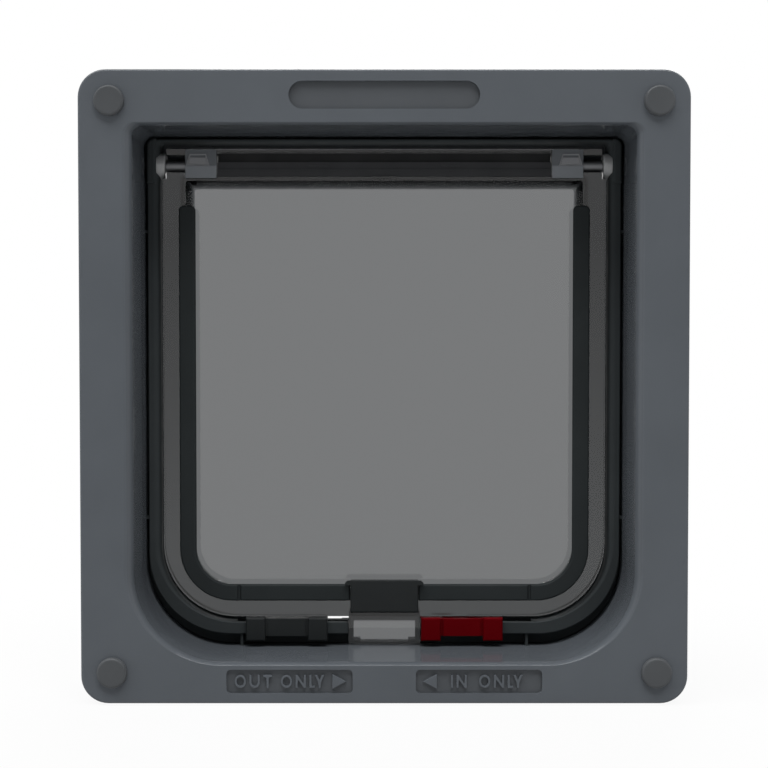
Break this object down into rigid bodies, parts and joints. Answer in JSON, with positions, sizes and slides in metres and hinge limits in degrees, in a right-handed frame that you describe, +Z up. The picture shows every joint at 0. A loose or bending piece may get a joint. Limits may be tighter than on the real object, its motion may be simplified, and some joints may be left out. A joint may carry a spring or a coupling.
{
  "type": "cat flap",
  "caption": "Cat flap for a door panel: grey frames with a tunnel, a top-hung smoked clear flap with rubber seal and magnet, and sliding black and red one-way latches",
  "frame": {"origin": "centre of the indoor flange outline, on the indoor face of the door", "axes": "+X to the right as seen from indoors, +Y outdoors through the door, +Z up"},
  "size_m": [0.1986, 0.0477, 0.2066],
  "materials": {
    "frame_grey": "satin moulded",
    "carrier_grey": "satin moulded",
    "smoked_clear": "polished clear, smoked",
    "seal_rubber": "matt",
    "black_plastic": "satin",
    "red_plastic": "satin",
    "pin_steel": "bright drawn",
    "plated_steel": "zinc plated",
    "nylon": "natural moulded",
    "magnet": "nickel plated"
  },
  "bodies": {
    "frame": {"interior_frame": "frame_grey", "exterior_frame": "frame_grey", "flap_carrier": "carrier_grey", "screw_cap_top_left": "frame_grey", "screw_cap_top_right": "frame_grey", "screw_cap_bottom_left": "frame_grey", "screw_cap_bottom_right": "frame_grey", "frame_screws": "plated_steel", "hinge_bush_left": "nylon", "hinge_bush_right": "nylon", "frame_magnet": "magnet"},
    "flap": {"flap_panel": "smoked_clear", "seal_left": "seal_rubber", "seal_right": "seal_rubber", "seal_bottom_left": "seal_rubber", "seal_bottom_right": "seal_rubber", "top_strip": "seal_rubber", "hinge_pin_left": "pin_steel", "hinge_pin_right": "pin_steel", "magnet_housing": "black_plastic", "magnet_cover": "black_plastic", "flap_magnet": "magnet", "lock_tab": "smoked_clear"},
    "out_latch": {"out_only_latch": "black_plastic"},
    "in_latch": {"in_only_latch": "red_plastic", "in_only_bolt": "red_plastic"}
  },
  "joints": [
    {"name": "flap_swing", "type": "hinge", "parent": "frame", "child": "flap", "pos_m": [0, 0.0212, 0.0756], "axis": [1, 0, 0], "range_deg": [-80, 80]},
    {"name": "out_latch_slide", "type": "slide", "parent": "frame", "child": "out_latch", "axis": [1, 0, 0], "range_m": [0, 0.0121]},
    {"name": "in_latch_slide", "type": "slide", "parent": "frame", "child": "in_latch", "axis": [-1, 0, 0], "range_m": [-0.0052, 0.004]}
  ]
}
